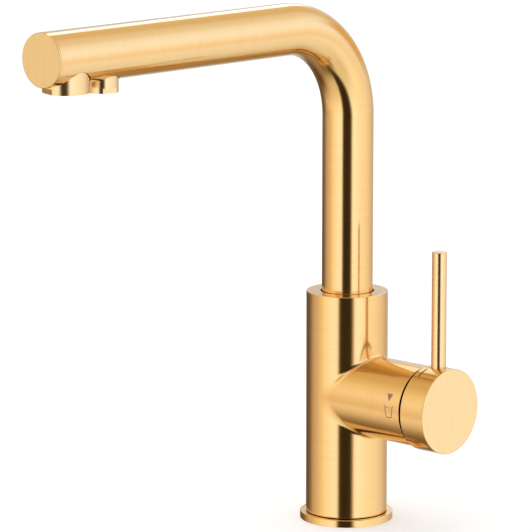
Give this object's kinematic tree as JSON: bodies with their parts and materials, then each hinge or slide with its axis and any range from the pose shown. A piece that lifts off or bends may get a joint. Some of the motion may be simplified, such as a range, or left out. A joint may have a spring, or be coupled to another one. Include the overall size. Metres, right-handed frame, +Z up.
{
  "type": "three way filtered water tap",
  "caption": "Deck-mounted kitchen mixer tap with a side lever, a swivelling square-bend tube spout, and separate outlets for mixed and filtered water.",
  "frame": {"origin": "centre of the base ring's underside, on the worktop", "axes": "+Z up the column, spout towards -Y at rest, handle branch towards +X"},
  "size_m": [0.1008, 0.2538, 0.291],
  "materials": {
    "gold_finish": "fine brushed, satin gold",
    "plain_brass": "machined",
    "stainless": "machined",
    "seal_rubber": "matte",
    "disc_ceramic": "lapped",
    "white_plastic": "moulded"
  },
  "bodies": {
    "body": {"mixer_body": "gold_finish", "base_ring": "gold_finish", "base_gasket": "seal_rubber", "connection_block": "plain_brass", "spout_glide_ring": "white_plastic", "spout_retaining_screw": "stainless", "cartridge_seal": "seal_rubber", "cartridge_base": "white_plastic", "fixed_disc": "disc_ceramic", "cartridge_housing": "white_plastic", "cartridge_nut": "plain_brass"},
    "spout": {"spout_tube": "gold_finish", "spout_end_cap": "gold_finish", "spout_spigot": "plain_brass", "spout_o_rings": "seal_rubber", "filter_pipe": "white_plastic", "filter_pipe_nipple": "plain_brass", "filter_nipple_o_ring": "seal_rubber", "outlet_manifold": "plain_brass", "main_outlet_sleeve": "gold_finish", "main_aerator": "white_plastic", "aerator_disperser": "white_plastic", "main_aerator_seal": "seal_rubber", "filter_outlet_sleeve": "gold_finish", "filter_flow_insert": "white_plastic", "filter_outlet_seal": "seal_rubber"},
    "rotor": {"cartridge_rotor": "white_plastic", "spindle_pivot_pin": "stainless"},
    "disc": {"moving_disc": "disc_ceramic", "disc_driver": "white_plastic"},
    "handle": {"lever_spindle": "plain_brass", "handle_cap": "gold_finish", "handle_lever": "gold_finish", "handle_grub_screw": "stainless"}
  },
  "joints": [
    {"name": "spout_swivel", "type": "hinge", "parent": "body", "child": "spout", "pos_m": [0, 0, 0.112], "axis": [0, 0, 1], "continuous": true},
    {"name": "handle_turn", "type": "hinge", "parent": "body", "child": "rotor", "pos_m": [0.0375, 0, 0.0715], "axis": [1, 0, 0], "range_deg": [-50, 90]},
    {"name": "handle_tilt", "type": "hinge", "parent": "rotor", "child": "handle", "pos_m": [0.0375, 0, 0.0715], "axis": [0, 1, 0], "range_deg": [0, 20]},
    {"name": "disc_slide", "type": "slide", "parent": "rotor", "child": "disc", "axis": [0, 0, 1], "range_m": [0, 0.0022]}
  ],
  "couplings": [
    {"joint": "disc_slide", "follows": "handle_tilt", "m_per_rad": 0.0057}
  ]
}
